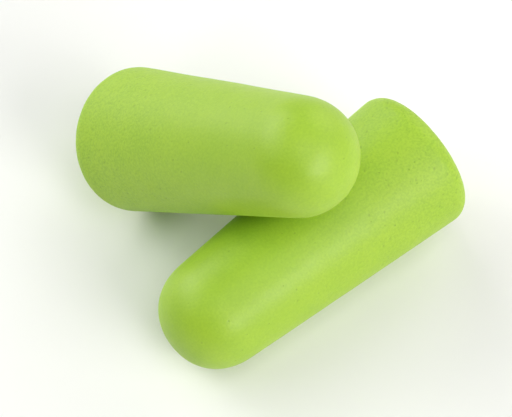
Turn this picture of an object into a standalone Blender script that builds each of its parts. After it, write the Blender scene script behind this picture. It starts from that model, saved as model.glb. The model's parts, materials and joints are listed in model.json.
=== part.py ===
"""A pair of tapered foam ear plugs.

One plug lies on its side. The other leans across it, with its wide end on the table.
Metres, +Z up. The table is z = 0, and the origin is the middle of the pair's box on the table.
The lying plug's axis runs along X, with its nose towards -X. Each plug is one moulded piece of
slow-recovery foam, made about its own axis: its local +Z runs from the flat wide end to the nose.
"""

import math

import bmesh
import bpy
from mathutils import Vector

MM = 0.001

# The plug
LENGTH = 26.0 * MM
BASE_DIAMETER = 12.0 * MM  # of the side's cone at the flat wide end, before its rim is rounded
TAPER_ANGLE = math.radians(3.8)  # between the side and the axis
RIM_RADIUS = 1.5 * MM  # of the rounding between the flat wide end and the side
NOSE_LENGTH = 4.4 * MM
NOSE_FULLNESS = 2.24  # 2 is an ellipse, and more is blunter

# How the pair lies
LEAN_ANGLE = math.radians(40.4)  # of the leaning plug's axis above the table
LEAN_HEADING = math.radians(-74.5)  # of its nose, from +X
LEAN_STANDOFF = 17.2 * MM  # from the lying plug's axis back to the leaning plug's wide end
LEAN_OFFSET = 17.2 * MM  # from the lying plug's wide end back along it to the same point

# How finely the round shapes are cut
FACETS = 48  # round the axis
HALF_FACET = math.pi / FACETS
RIM_STEPS = 6
NOSE_STEPS = 14
SHARP_ANGLE = math.radians(40)  # shading breaks where two facets meet at more than this

FOAM_COLOUR = (0.342, 0.572, 0.056, 1.0)
FOAM_ROUGHNESS = 0.85
TINY = 1e-7  # joins points that a full turn lays on each other


def rim_points():
    """(radius, height) round the rim, from the edge of the flat end to where it meets the side."""
    centre_radius = (
        BASE_DIAMETER / 2 - RIM_RADIUS * math.tan(TAPER_ANGLE) - RIM_RADIUS / math.cos(TAPER_ANGLE)
    )
    start, end = -math.pi / 2, TAPER_ANGLE
    points = []
    for step in range(RIM_STEPS + 1):
        turn = start + (end - start) * step / RIM_STEPS
        points.append(
            (centre_radius + RIM_RADIUS * math.cos(turn), RIM_RADIUS + RIM_RADIUS * math.sin(turn))
        )
    return points


def nose_points():
    """(radius, height) of the nose, from where it meets the side to its tip on the axis."""
    power = 2 / NOSE_FULLNESS
    points = []
    for step in range(NOSE_STEPS):
        turn = math.pi / 2 * step / NOSE_STEPS
        height = LENGTH - NOSE_LENGTH + NOSE_LENGTH * math.sin(turn) ** power
        side_radius = BASE_DIAMETER / 2 - height * math.tan(TAPER_ANGLE)
        points.append((side_radius * math.cos(turn) ** power, height))
    return points + [(0.0, LENGTH)]


def plug_mesh():
    """One plug about its own axis. The middle of a facet faces local +X, which is the underside."""
    bm = bmesh.new()
    outline = [
        bm.verts.new((radius * math.cos(HALF_FACET), radius * math.sin(HALF_FACET), height))
        for radius, height in rim_points() + nose_points()
    ]
    edges = [bm.edges.new(pair) for pair in zip(outline, outline[1:])]
    bmesh.ops.spin(
        bm,
        geom=outline + edges,
        cent=(0, 0, 0),
        axis=(0, 0, 1),
        angle=2 * math.pi,
        steps=FACETS,
    )
    bmesh.ops.remove_doubles(bm, verts=bm.verts, dist=TINY)
    flat_end = [edge for edge in bm.edges if edge.is_boundary]
    bmesh.ops.contextual_create(bm, geom=flat_end)
    bmesh.ops.recalc_face_normals(bm, faces=bm.faces)
    mesh = bpy.data.meshes.new("plug")
    bm.to_mesh(mesh)
    bm.free()
    mesh.shade_smooth()
    mesh.set_sharp_from_angle(angle=SHARP_ANGLE)
    return mesh


def foam_material():
    material = bpy.data.materials.new("foam")
    material.use_nodes = True
    surface = material.node_tree.nodes["Principled BSDF"]
    surface.inputs["Base Color"].default_value = FOAM_COLOUR
    surface.inputs["Roughness"].default_value = FOAM_ROUGHNESS
    surface.inputs["Metallic"].default_value = 0.0
    return material


def lowest(obj):
    bpy.context.view_layer.update()
    return min((obj.matrix_world @ vertex.co).z for vertex in obj.data.vertices)


def lay(name, mesh, pair, elevation, heading, x, y):
    """Lays a plug with its nose at that elevation and heading, and its flat end over (x, y)."""
    plug = bpy.data.objects.new(name, mesh)
    bpy.context.scene.collection.objects.link(plug)
    plug.parent = pair
    plug.rotation_euler = (0, math.pi / 2 - elevation, heading)
    plug.location = (x, y, 0)
    plug.location.z = -lowest(plug)
    return plug


def centre_on_origin(pair, plugs):
    """Moves the pair so that the origin is the middle of its box on the table."""
    bpy.context.view_layer.update()
    corners = [plug.matrix_world @ vertex.co for plug in plugs for vertex in plug.data.vertices]
    low = Vector(min(c[axis] for c in corners) for axis in range(3))
    high = Vector(max(c[axis] for c in corners) for axis in range(3))
    pair.location = (-(low.x + high.x) / 2, -(low.y + high.y) / 2, 0)
    bpy.context.view_layer.update()


def main():
    for obj in list(bpy.data.objects):
        bpy.data.objects.remove(obj)
    mesh = plug_mesh()
    mesh.materials.append(foam_material())
    pair = bpy.data.objects.new("pair", None)
    bpy.context.scene.collection.objects.link(pair)
    # A facet slopes a little less than the cone it is cut from, and the lying plug rests on one.
    facet_slope = math.atan(math.tan(TAPER_ANGLE) * math.cos(HALF_FACET))
    lying = lay("lying_plug", mesh, pair, -facet_slope, math.pi, 0, 0)
    leaning = lay(
        "leaning_plug", mesh, pair, LEAN_ANGLE, LEAN_HEADING, -LEAN_OFFSET, LEAN_STANDOFF
    )
    centre_on_origin(pair, (lying, leaning))


main()
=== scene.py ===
import json
import math
import random

import bpy
import numpy as np
from mathutils import Matrix, Vector


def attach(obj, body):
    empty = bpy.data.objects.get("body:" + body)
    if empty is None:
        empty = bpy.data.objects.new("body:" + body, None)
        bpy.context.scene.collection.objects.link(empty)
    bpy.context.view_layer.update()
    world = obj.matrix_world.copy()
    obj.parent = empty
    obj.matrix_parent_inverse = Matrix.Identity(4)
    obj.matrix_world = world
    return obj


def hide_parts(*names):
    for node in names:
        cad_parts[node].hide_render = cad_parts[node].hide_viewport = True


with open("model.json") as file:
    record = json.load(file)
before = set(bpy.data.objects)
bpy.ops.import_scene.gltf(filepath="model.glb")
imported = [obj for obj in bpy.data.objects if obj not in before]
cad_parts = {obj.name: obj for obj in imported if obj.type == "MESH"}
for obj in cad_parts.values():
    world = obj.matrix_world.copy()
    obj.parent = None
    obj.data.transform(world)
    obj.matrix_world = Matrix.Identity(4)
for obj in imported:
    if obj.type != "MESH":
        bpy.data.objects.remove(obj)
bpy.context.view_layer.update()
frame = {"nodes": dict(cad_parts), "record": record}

mm = 0.001
mounts = {mount["name"]: mount for mount in frame["record"]["mounts"]}
print("frame loaded:", ", ".join(sorted(frame["nodes"])))


# small helpers

def deselectAll():
    bpy.ops.object.select_all(action="DESELECT")


def makeActive(piece):
    deselectAll()
    piece.select_set(True)
    bpy.context.view_layer.objects.active = piece


def applyPlace(piece):
    makeActive(piece)
    bpy.ops.object.transform_apply(location=True, rotation=True, scale=True)


def applyModifiers(piece):
    makeActive(piece)
    for modifier in list(piece.modifiers):
        bpy.ops.object.modifier_apply(modifier=modifier.name)


def vectorsOf(parts, label):
    # one row of three numbers for each vertex, normal or face
    flat = np.empty(len(parts) * 3, np.float32)
    parts.foreach_get(label, flat)
    return flat.reshape(-1, 3).astype(float)


def pointsOf(piece):
    return vectorsOf(piece.data.vertices, "co")


def setPoints(piece, points):
    piece.data.vertices.foreach_set("co", points.astype(np.float32).ravel())
    piece.data.update()


def editPicked(piece, kind, picked):
    # into edit mode with only these "vertices" or "polygons" selected
    makeActive(piece)
    mesh = piece.data
    for parts in (mesh.vertices, mesh.edges, mesh.polygons):
        parts.foreach_set("select", np.zeros(len(parts), bool))
    getattr(mesh, kind).foreach_set("select", picked)
    bpy.context.tool_settings.mesh_select_mode = (kind == "vertices", False, kind == "polygons")
    bpy.ops.object.mode_set(mode="EDIT")


def smoothStep(share):
    # 0 to 1 with an easy start and end
    share = np.clip(share, 0, 1)
    return share * share * (3 - 2 * share)


# camera

cameraSetup = {
    "lens": 136.3,                       # mm, on a 36 mm sensor
    "distance": 161.0 * mm,
    "aim": Vector((1.01, -0.34, 0)) * mm,
    "azimuth": math.radians(-39.22),
    "elevation": math.radians(61.31),
    "nearest": 5 * mm,
    "farthest": 5.0,
}


def fromSide(azimuth, elevation):
    # the way from the plugs towards something that stands at this azimuth and elevation
    flat = math.cos(elevation)
    return Vector((math.sin(azimuth) * flat, -math.cos(azimuth) * flat, math.sin(elevation)))


def addCamera():
    away = fromSide(cameraSetup["azimuth"], cameraSetup["elevation"])
    deselectAll()
    bpy.ops.object.camera_add(location=cameraSetup["aim"] + away * cameraSetup["distance"])
    camera = bpy.context.object
    camera.rotation_euler = away.to_track_quat("Z", "Y").to_euler()
    camera.data.lens = cameraSetup["lens"]
    camera.data.clip_start = cameraSetup["nearest"]
    camera.data.clip_end = cameraSetup["farthest"]
    bpy.context.scene.camera = camera


# lights: a pale room and large soft boxes; angles in degrees, distances and sizes in metres, power in watts

room = {"colour": (0.92, 1.0, 0.95), "strength": 0.165}

softBoxes = {
    "frontBox": {"azimuth": 18, "elevation": 30, "distance": 0.55, "size": (0.44, 0.36),
                 "power": 1.46, "colour": (1.0, 0.96, 0.93)},
    "glintBox": {"azimuth": 5, "elevation": 28, "distance": 0.55, "size": (0.28, 0.05),
                 "power": 0.75, "colour": (1.0, 0.98, 1.0)},   # draws the streak along the lying plug
    "backBox": {"azimuth": 184, "elevation": 28, "distance": 0.55, "size": (0.44, 0.34),
                "power": 1.62, "colour": (1.0, 0.96, 0.96)},
    "sideBox": {"azimuth": 98, "elevation": 30, "distance": 0.55, "size": (0.50, 0.34),
                "power": 0.95, "colour": (1.0, 0.96, 1.0)},
    "farBox": {"azimuth": 220, "elevation": 42, "distance": 0.55, "size": (0.40, 0.34),
               "power": 0.95, "colour": (0.92, 1.0, 0.90)},
    "topBox": {"azimuth": -5, "elevation": 72, "distance": 0.60, "size": (0.34, 0.34),
               "power": 0.74, "colour": (1.0, 1.0, 0.98)},
}


def addLights():
    world = bpy.data.worlds.new("room")
    bpy.context.scene.world = world
    world.use_nodes = True
    background = world.node_tree.nodes["Background"]
    background.inputs["Color"].default_value = (*room["colour"], 1)
    background.inputs["Strength"].default_value = room["strength"]
    for name, box in softBoxes.items():
        away = fromSide(math.radians(box["azimuth"]), math.radians(box["elevation"]))
        deselectAll()
        bpy.ops.object.light_add(type="AREA", location=away * box["distance"])
        light = bpy.context.object
        light.name = name
        light.rotation_euler = away.to_track_quat("Z", "Y").to_euler()
        light.data.shape = "RECTANGLE"
        light.data.size, light.data.size_y = box["size"]
        light.data.energy = box["power"]
        light.data.color = box["colour"]


# shader pieces that the materials share

def addNode(tree, kind, values=None, **settings):
    node = tree.nodes.new(kind)
    for setting, value in settings.items():
        setattr(node, setting, value)
    for socket, value in (values or {}).items():
        node.inputs[socket].default_value = value
    return node


def addMath(tree, operation, first, second=None, third=None, clamp=False):
    node = addNode(tree, "ShaderNodeMath", operation=operation, use_clamp=clamp)
    for place, value in enumerate((first, second, third)):
        if value is None:
            continue
        if isinstance(value, (int, float)):
            node.inputs[place].default_value = value
        else:
            tree.links.new(value, node.inputs[place])
    return node.outputs[0]


def newGroup(name, inputs, outputs):
    tree = bpy.data.node_groups.new(name, "ShaderNodeTree")
    for label, kind, value in inputs:
        socket = tree.interface.new_socket(label, in_out="INPUT", socket_type=kind)
        if value is not None:
            socket.default_value = value
    for label, kind in outputs:
        tree.interface.new_socket(label, in_out="OUTPUT", socket_type=kind)
    return tree, tree.nodes.new("NodeGroupInput"), tree.nodes.new("NodeGroupOutput")


def makeGrainGroup():
    # uneven grain: Grain is about 0 on average and swings both ways by Amount
    tree, given, result = newGroup(
        "unevenGrain",
        [("Vector", "NodeSocketVector", None), ("Per Metre", "NodeSocketFloat", 1000.0),
         ("Detail", "NodeSocketFloat", 2.0), ("Amount", "NodeSocketFloat", 0.1)],
        [("Grain", "NodeSocketFloat")])
    noise = addNode(tree, "ShaderNodeTexNoise", {"Roughness": 0.55}, noise_dimensions="3D")
    tree.links.new(given.outputs["Vector"], noise.inputs["Vector"])
    tree.links.new(given.outputs["Per Metre"], noise.inputs["Scale"])
    tree.links.new(given.outputs["Detail"], noise.inputs["Detail"])
    centred = addMath(tree, "SUBTRACT", noise.outputs["Fac"], 0.5)
    grain = addMath(tree, "MULTIPLY", centred, given.outputs["Amount"])
    tree.links.new(grain, result.inputs["Grain"])
    return tree


def makePoreGroup():
    # scattered pores: Pore is 1 in the middle of a pore and 0 between them
    # Share is how many of the noise's cells have a pore, and each is 0.4 to 1.4 times as wide as Width
    tree, given, result = newGroup(
        "scatteredPores",
        [("Vector", "NodeSocketVector", None), ("Per Metre", "NodeSocketFloat", 2000.0),
         ("Width", "NodeSocketFloat", 0.2), ("Share", "NodeSocketFloat", 0.5)],
        [("Pore", "NodeSocketFloat")])
    cells = addNode(tree, "ShaderNodeTexVoronoi", {"Randomness": 1.0}, feature="F1")
    tree.links.new(given.outputs["Vector"], cells.inputs["Vector"])
    tree.links.new(given.outputs["Per Metre"], cells.inputs["Scale"])
    parts = addNode(tree, "ShaderNodeSeparateColor")
    tree.links.new(cells.outputs["Color"], parts.inputs["Color"])
    scatter = addMath(tree, "ADD", parts.outputs["Green"], 0.4)
    width = addMath(tree, "MULTIPLY", given.outputs["Width"], scatter)
    reach = addMath(tree, "DIVIDE", cells.outputs["Distance"], width)
    inside = addMath(tree, "SUBTRACT", 1.0, reach, clamp=True)
    kept = addMath(tree, "LESS_THAN", parts.outputs["Red"], given.outputs["Share"])
    tree.links.new(addMath(tree, "MULTIPLY", inside, kept), result.inputs["Pore"])
    return tree


def useGroup(tree, group, vector, values):
    node = addNode(tree, "ShaderNodeGroup", node_tree=group)
    tree.links.new(vector, node.inputs["Vector"])
    for label, value in values.items():
        if isinstance(value, (int, float)):
            node.inputs[label].default_value = value
        else:
            tree.links.new(value, node.inputs[label])
    return node.outputs[0]


def newMaterial(name):
    material = bpy.data.materials.new(name)
    material.use_nodes = True
    tree = material.node_tree
    return material, tree, tree.nodes["Principled BSDF"]


# the foam

foamLook = {
    "lime": (0.384, 0.586, 0.036, 1),
    "deepLime": (0.268, 0.475, 0.027, 1),   # in the hollows and thin patches
    "poreGreen": (0.110, 0.240, 0.012, 1),  # painted shade inside an open cell or a pinhole
    "deepShare": 0.28,                      # of deepLime where the grain is even
    "poreShade": 0.55,                      # share of the painted shade colour in a pore
    "pinholeShade": 0.45,                   # share of the painted shade colour in a pinhole
    "roughness": 0.45,
    "openRoughness": 0.12,                  # more of it where the skin is open
    "specular": 0.5,
    "glow": 0.22,                           # share of the light that goes into the foam
    "glowReach": (0.75, 1.0, 0.30),
    "glowDepth": 0.9 * mm,
    "patches": {"Per Metre": 330.0, "Detail": 2.0, "Amount": 0.55},
    "speckle": {"Per Metre": 5600.0, "Detail": 1.5},
    "speckleAmount": (2.3, 0.75),           # more with openness, and on closed skin
    "pores": {"Per Metre": 2600.0, "Width": 0.20},
    "poreCount": (0.42, 0.03),              # share of cells, in the same way
    "rubbed": {"Per Metre": 900.0, "Detail": 3.0, "Amount": 0.16},
    "pebble": {"Per Metre": 2600.0, "Detail": 3.0, "Amount": 1.0},
    "speckleHeight": -0.6,                  # against the pebble's
    "poreDepth": 1.4,
    "bumpStrength": 0.8,
    "bumpDistance": 0.02 * mm,
}


def addMixedColour(tree, factor, first, second):
    # first and second are each a colour or an output
    mix = addNode(tree, "ShaderNodeMix", data_type="RGBA")
    tree.links.new(factor, mix.inputs["Factor"])
    for label, colour in (("A", first), ("B", second)):
        if isinstance(colour, tuple):
            mix.inputs[label].default_value = colour
        else:
            tree.links.new(colour, mix.inputs[label])
    return mix.outputs["Result"]


def makeFoam(grain, pores):
    look = foamLook
    material, tree, surface = newMaterial("limeFoam")
    place = addNode(tree, "ShaderNodeTexCoord").outputs["Object"]
    openness = addNode(tree, "ShaderNodeAttribute", attribute_name="openness").outputs["Fac"]
    # pinhole is how deep each pit is, used below to paint shade into it
    pinhole = addNode(tree, "ShaderNodeAttribute", attribute_name="pinhole").outputs["Fac"]

    # colour: broad patches, a fine speckle of cells under the skin, and painted shade in the open pores
    # near the wide end
    patches = useGroup(tree, grain, place, look["patches"])
    speckleAmount = addMath(tree, "MULTIPLY_ADD", openness, *look["speckleAmount"])
    speckle = useGroup(tree, grain, place, {**look["speckle"], "Amount": speckleAmount})
    poreShare = addMath(tree, "MULTIPLY_ADD", openness, *look["poreCount"])
    pore = useGroup(tree, pores, place, {**look["pores"], "Share": poreShare})
    uneven = addMath(tree, "ADD", patches, speckle)
    darkness = addMath(tree, "ADD", uneven, look["deepShare"], clamp=True)
    body = addMixedColour(tree, darkness, look["lime"], look["deepLime"])
    # painted shade in the pores, which are also sunk in the relief below
    poreShade = addMath(tree, "MULTIPLY", pore, look["poreShade"])
    # painted shade in the pinholes, darker where a pit is deeper
    pinholeShade = addMath(tree, "MULTIPLY", pinhole, look["pinholeShade"])
    # hollow is where the painted shade of pores and pinholes falls, mixed towards the deep green
    hollow = addMath(tree, "MAXIMUM", poreShade, pinholeShade)
    coloured = addMixedColour(tree, hollow, body, look["poreGreen"])
    tree.links.new(coloured, surface.inputs["Base Color"])

    # finish: half matt, and a little rougher where the skin is open
    rubbed = useGroup(tree, grain, place, look["rubbed"])
    evenRoughness = addMath(tree, "MULTIPLY_ADD", openness, look["openRoughness"], look["roughness"])
    roughness = addMath(tree, "ADD", evenRoughness, rubbed)
    tree.links.new(roughness, surface.inputs["Roughness"])

    # relief of the skin
    pebble = useGroup(tree, grain, place, look["pebble"])
    fine = addMath(tree, "MULTIPLY", speckle, look["speckleHeight"])
    raised = addMath(tree, "ADD", pebble, fine)
    sunken = addMath(tree, "MULTIPLY", pore, look["poreDepth"])
    height = addMath(tree, "SUBTRACT", raised, sunken)
    bump = addNode(tree, "ShaderNodeBump",
                   {"Strength": look["bumpStrength"], "Distance": look["bumpDistance"]})
    tree.links.new(height, bump.inputs["Height"])
    tree.links.new(bump.outputs["Normal"], surface.inputs["Normal"])

    surface.inputs["Subsurface Weight"].default_value = look["glow"]
    surface.inputs["Subsurface Radius"].default_value = look["glowReach"]
    surface.inputs["Subsurface Scale"].default_value = look["glowDepth"]
    surface.inputs["Specular IOR Level"].default_value = look["specular"]
    return material


# the floor

floorLook = {
    "size": 3.0,                            # metres
    "drop": 0.02 * mm,                      # below the plugs
    "colour": (0.92, 0.915, 0.91, 1),
    "roughness": 0.75,
    "unevenness": {"Per Metre": 40.0, "Detail": 2.0, "Amount": 0.05},
    "specular": 0.2,
}


def addFloor(grain):
    deselectAll()
    bpy.ops.mesh.primitive_plane_add(size=floorLook["size"], location=(0, 0, -floorLook["drop"]))
    floor = bpy.context.object
    floor.name = "floor"
    material, tree, surface = newMaterial("paleFloor")
    place = addNode(tree, "ShaderNodeTexCoord").outputs["Object"]
    uneven = useGroup(tree, grain, place, floorLook["unevenness"])
    roughness = addMath(tree, "ADD", uneven, floorLook["roughness"])
    tree.links.new(roughness, surface.inputs["Roughness"])
    surface.inputs["Base Color"].default_value = floorLook["colour"]
    surface.inputs["Specular IOR Level"].default_value = floorLook["specular"]
    floor.data.materials.append(material)


# one plug, made standing on its flat end, in millimetres

plugForm = {
    "length": 26.0,
    "baseRadius": 6.0,              # of the side's cone at the flat end
    "taper": math.radians(3.8),
    "rimRadius": 1.5,
    "noseLength": 4.4,
    "noseFullness": 2.24,           # 2 is an ellipse, and more is blunter
    "endSteps": 34,                 # across the flat end, from its middle
    "rimSteps": 20,
    "sideSteps": 138,
    "noseSteps": 46,
    "turnSteps": 256,               # round the axis
    "endDish": 0.07,                # how far the middle of the flat end sits in
    "joinGap": 0.0005,              # points closer than this become one
}


def plugOutline():
    # half of the outline as (radius, height): flat end, rim, side, nose
    form = plugForm
    slope = math.tan(form["taper"])
    rimMiddle = form["baseRadius"] - form["rimRadius"] * (slope + 1 / math.cos(form["taper"]))
    points = []

    for step in range(form["endSteps"]):
        share = step / form["endSteps"]
        points.append((rimMiddle * share, form["endDish"] * (1 - share * share) ** 2))
    for step in range(form["rimSteps"]):
        turn = -math.pi / 2 + (math.pi / 2 + form["taper"]) * step / form["rimSteps"]
        radius = rimMiddle + form["rimRadius"] * math.cos(turn)
        points.append((radius, form["rimRadius"] * (1 + math.sin(turn))))

    sideLow = form["rimRadius"] * (1 + math.sin(form["taper"]))
    sideHigh = form["length"] - form["noseLength"]
    for step in range(form["sideSteps"]):
        height = sideLow + (sideHigh - sideLow) * step / form["sideSteps"]
        points.append((form["baseRadius"] - height * slope, height))

    power = 2 / form["noseFullness"]
    for step in range(form["noseSteps"]):
        turn = math.pi / 2 * step / form["noseSteps"]
        height = sideHigh + form["noseLength"] * math.sin(turn) ** power
        radius = (form["baseRadius"] - height * slope) * math.cos(turn) ** power
        points.append((radius, height))
    return points + [(0.0, form["length"])]


def addPlugBlank(name):
    # a point drawn out along the outline, then spun
    outline = plugOutline()
    deselectAll()
    bpy.ops.mesh.primitive_plane_add(size=0.1, location=(0, 0, 0))
    plug = bpy.context.object
    plug.name = plug.data.name = name
    bpy.context.tool_settings.mesh_select_mode = (True, False, False)
    bpy.ops.object.mode_set(mode="EDIT")
    bpy.ops.mesh.merge(type="CENTER")
    bpy.ops.transform.translate(value=(outline[0][0], 0, outline[0][1]))
    for here, there in zip(outline, outline[1:]):
        along = (there[0] - here[0], 0, there[1] - here[1])
        bpy.ops.mesh.extrude_vertices_move(TRANSFORM_OT_translate={"value": along})
    bpy.ops.mesh.select_all(action="SELECT")
    bpy.ops.mesh.spin(
        steps=plugForm["turnSteps"], angle=2 * math.pi, center=(0, 0, 0), axis=(0, 0, 1))
    bpy.ops.mesh.select_all(action="SELECT")
    bpy.ops.mesh.remove_doubles(threshold=plugForm["joinGap"])
    bpy.ops.mesh.normals_make_consistent(inside=False)
    bpy.ops.object.mode_set(mode="OBJECT")
    return plug


# relief of the moulded foam, coarse to fine
# size of a lump and its height in mm, and how much of the height stays at the nose
relief = {
    "bodyWave": {"kind": "CLOUDS", "size": 9.0, "height": 0.075, "atNose": 1.0},
    "softLumps": {"kind": "CLOUDS", "size": 2.6, "height": 0.022, "atNose": 0.8},
    "pebble": {"kind": "CLOUDS", "size": 0.75, "height": 0.010, "atNose": 0.55},
    "cells": {"kind": "VORONOI", "size": 0.42, "height": 0.016, "atNose": 0.08},
}
reliefBands = 20                    # steps in which the height fades out

# how open the skin is: a base, and more on the side and round the flat end, each fading out by a share of
# the plug's length
skin = {"closed": 0.10, "side": 0.55, "sideReach": 0.75, "end": 0.35, "endReach": 0.06}


def heightsAndRadii(points, base, axis):
    # how far each point is along a plug's axis from its flat end, and how far out from the axis
    along = (points - np.array(base)) @ np.array(axis)
    out = np.linalg.norm(points - np.array(base) - along[:, None] * np.array(axis), axis=1)
    return along, out


def opennessAt(heights):
    # 1 on the flat end, where the mould was filled, and thinning out to a closed skin at the nose
    share = heights / (plugForm["length"] * mm)
    onSide = skin["side"] * (1 - smoothStep(share / skin["sideReach"]))
    atEnd = skin["end"] * (1 - smoothStep(share / skin["endReach"]))
    return skin["closed"] + onSide + atEnd


def addRelief(plug, base, axis):
    heights, _ = heightsAndRadii(pointsOf(plug), base, axis)
    bands = np.round(opennessAt(heights) * reliefBands).astype(int)
    for name, wave in relief.items():
        group = plug.vertex_groups.new(name=name)
        for band in np.unique(bands):
            picked = np.nonzero(bands == band)[0].tolist()
            weight = wave["atNose"] + (1 - wave["atNose"]) * band / reliefBands
            group.add(picked, weight, "REPLACE")
        texture = bpy.data.textures.new(plug.name + name, wave["kind"])
        texture.noise_scale = wave["size"] * mm
        if wave["kind"] == "CLOUDS":
            texture.noise_depth = 1
        displace = plug.modifiers.new(name, "DISPLACE")
        displace.texture = texture
        displace.texture_coords = "LOCAL"
        displace.mid_level = 0.5
        displace.strength = wave["height"] * mm
        displace.vertex_group = name
    applyModifiers(plug)
    plug.vertex_groups.clear()


pinholes = {
    "count": 130,                   # tried; the few that would be too close are left out
    "smallest": 0.025,              # radius in mm
    "largest": 0.062,
    "smallBias": 4,                 # the higher, the fewer large ones
    "openBias": 2,                  # the higher, the fewer on closed skin
    "clearOfAxis": 1.0,             # mm, as the points crowd together there
    "spacing": 3,                   # in radii of the two
    "cutReach": 1.35,               # the skin is cut finer this far out, in radii,
    "cutMargin": 0.04,              # and this many mm more
    "cuts": 4,
    "depth": 1.0,                   # in radii
    "floorReach": 0.25,             # where the wall starts to rise, in radii
    "wallWidth": 0.9,
    "rim": 1.2,                     # nothing is pushed in beyond this, in radii
}


def chooseWithSpacing(points, order, pick):
    # a middle and a size for each pinhole, leaving out any that is too close to an earlier one
    middles, sizes = [], []
    for index in order:
        larger = (pinholes["largest"] - pinholes["smallest"]) * pick.random() ** pinholes["smallBias"]
        size = (pinholes["smallest"] + larger) * mm
        isClear = all(
            np.linalg.norm(points[index] - middle) > pinholes["spacing"] * (size + other)
            for middle, other in zip(middles, sizes))
        if isClear:
            middles.append(points[index])
            sizes.append(size)
    return middles, sizes


def sinkPinholes(plug, base, axis, seed):
    # real pits: the skin is cut finer round each one, and its middle is pushed in
    pick = random.Random(seed)
    points = pointsOf(plug)
    heights, radii = heightsAndRadii(points, base, axis)
    isOut = radii > pinholes["clearOfAxis"] * mm
    chance = np.where(isOut, opennessAt(heights) ** pinholes["openBias"], 0)
    weights = (chance * radii).tolist()
    order = pick.choices(range(len(points)), weights=weights, k=pinholes["count"])
    middles, sizes = chooseWithSpacing(points, order, pick)

    centres = vectorsOf(plug.data.polygons, "center")
    near = np.zeros(len(centres), bool)
    for middle, size in zip(middles, sizes):
        cutRadius = size * pinholes["cutReach"] + pinholes["cutMargin"] * mm
        near |= np.linalg.norm(centres - middle, axis=1) < cutRadius
    editPicked(plug, "polygons", near)
    bpy.ops.mesh.subdivide(number_cuts=pinholes["cuts"], ngon=False)
    bpy.ops.object.mode_set(mode="OBJECT")

    points, normals = pointsOf(plug), vectorsOf(plug.data.vertex_normals, "vector")
    depth = np.zeros(len(points))
    for middle, size in zip(middles, sizes):
        reach = np.linalg.norm(points - middle, axis=1) / size
        wall = 1 - smoothStep((reach - pinholes["floorReach"]) / pinholes["wallWidth"])
        depth = np.maximum(depth, wall * (reach < pinholes["rim"]) * size)
    setPoints(plug, points - normals * (depth * pinholes["depth"])[:, None])
    # each pit's depth is kept for the foam, which paints shade into the pit with it
    sunk = plug.data.attributes.new("pinhole", "FLOAT", "POINT")
    shade = (depth / (pinholes["smallest"] * mm)).clip(0, 1)
    sunk.data.foreach_set("value", shade.astype(np.float32))
    return len(middles)


def markOpenness(plug, base, axis, amount):
    # for the material
    heights, _ = heightsAndRadii(pointsOf(plug), base, axis)
    attribute = plug.data.attributes.new("openness", "FLOAT", "POINT")
    attribute.data.foreach_set("value", (opennessAt(heights) * amount).astype(np.float32))


def pressOnTable(plug, give):
    # what is lower than this little bit of give is pressed flat on the table
    editPicked(plug, "vertices", pointsOf(plug)[:, 2] < give)
    bpy.ops.transform.resize(value=(1, 1, 0), center_override=(0, 0, 0))
    bpy.ops.object.mode_set(mode="OBJECT")


# where each plug lies
# settle is how much further it tips down than its CAD solid, till it touches the other plug
# openSkin is how open its skin looks against an even one
plugPlaces = {
    "lyingFoamPlug": {"node": "lying_plug", "settle": 0.0,
                      "seed": 11, "openSkin": 0.95},
    "leaningFoamPlug": {"node": "leaning_plug", "settle": math.radians(1.4),
                        "seed": 27, "openSkin": 1.3},
}
tableGive = 0.03 * mm               # how much of a plug the table flattens
touchGap = 0.02 * mm                # between the plugs where they meet


def placeOnFrame(plug, node, settle):
    # stands the plug where its CAD solid's flat end is, along that solid's axis, then lets it settle
    flatEnd = mounts[node + "_flat_end"]
    base = Vector(flatEnd["pos_m"])
    axis = -Vector(flatEnd["axis"]).normalized()
    turned = axis.to_track_quat("Z", "X").to_matrix().to_4x4()
    plug.matrix_world = Matrix.Translation(base) @ turned @ Matrix.Scale(mm, 4)
    applyPlace(plug)
    if settle:
        points = pointsOf(plug)
        lowest = Vector(points[points[:, 2].argmin()])
        across = Vector((0, 0, 1)).cross(axis).normalized()
        turn = Matrix.Rotation(settle, 4, across)
        tip = Matrix.Translation(lowest) @ turn @ Matrix.Translation(-lowest)
        plug.matrix_world = tip
        applyPlace(plug)
        base, axis = tip @ base, (tip.to_3x3() @ axis).normalized()
    return base, axis


def makePlug(name, foam):
    info = plugPlaces[name]
    plug = addPlugBlank(name)
    base, axis = placeOnFrame(plug, info["node"], info["settle"])
    addRelief(plug, base, axis)
    pits = sinkPinholes(plug, base, axis, info["seed"])
    markOpenness(plug, base, axis, info["openSkin"])
    plug.data.materials.append(foam)
    makeActive(plug)
    bpy.ops.object.shade_smooth()
    print(name, "made:", len(plug.data.polygons), "faces,", pits, "pinholes")
    return plug


def pressTogether(leaning, lying):
    # foam gives where the two plugs meet, so neither goes into the other
    wrap = leaning.modifiers.new("press", "SHRINKWRAP")
    wrap.target = lying
    wrap.wrap_method = "NEAREST_SURFACEPOINT"
    wrap.wrap_mode = "OUTSIDE"
    wrap.offset = touchGap
    applyModifiers(leaning)


addCamera()
addLights()
grain = makeGrainGroup()
pores = makePoreGroup()
foam = makeFoam(grain, pores)
addFloor(grain)
print("camera, lights and floor placed")

plugs = {name: makePlug(name, foam) for name in plugPlaces}
pressTogether(plugs["leaningFoamPlug"], plugs["lyingFoamPlug"])
for name, plug in plugs.items():
    node = plugPlaces[name]["node"]
    pressOnTable(plug, tableGive)
    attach(plug, node)
    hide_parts(node)
print("both plugs pressed down and riding on their bodies")

bpy.context.scene.view_settings.view_transform = "Standard"
